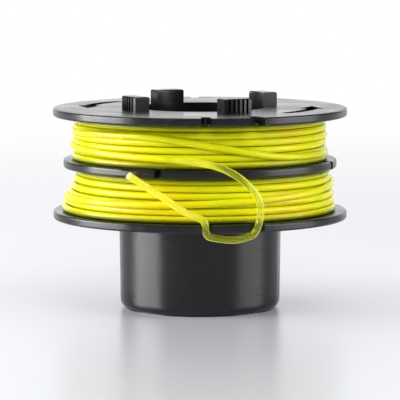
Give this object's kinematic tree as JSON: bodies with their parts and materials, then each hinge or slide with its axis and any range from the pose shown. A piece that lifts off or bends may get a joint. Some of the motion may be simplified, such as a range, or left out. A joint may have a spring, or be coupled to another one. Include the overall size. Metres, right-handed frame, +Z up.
{
  "type": "trimmer line spool",
  "caption": "Two-bay spool with notched flanges, drive dogs round a blind bore and a closed tapping nose, wound with nylon line for a string trimmer head.",
  "frame": {"origin": "centre of the flat foot under the nose, on the spool's axis", "axes": "+Z up the axis towards the drive dogs; the slits in the divider's rim lie on X and Y; the upper line's end is parked on the -Y side"},
  "size_m": [0.0688, 0.0695, 0.0502],
  "materials": {
    "body": "semi-gloss black moulding",
    "line": "translucent yellow-green nylon line"
  },
  "bodies": {
    "root": {"spool_body": "body", "upper_winding": "line", "lower_winding": "line", "upper_line_tail": "line", "lower_line_tail": "line"}
  },
  "joints": []
}
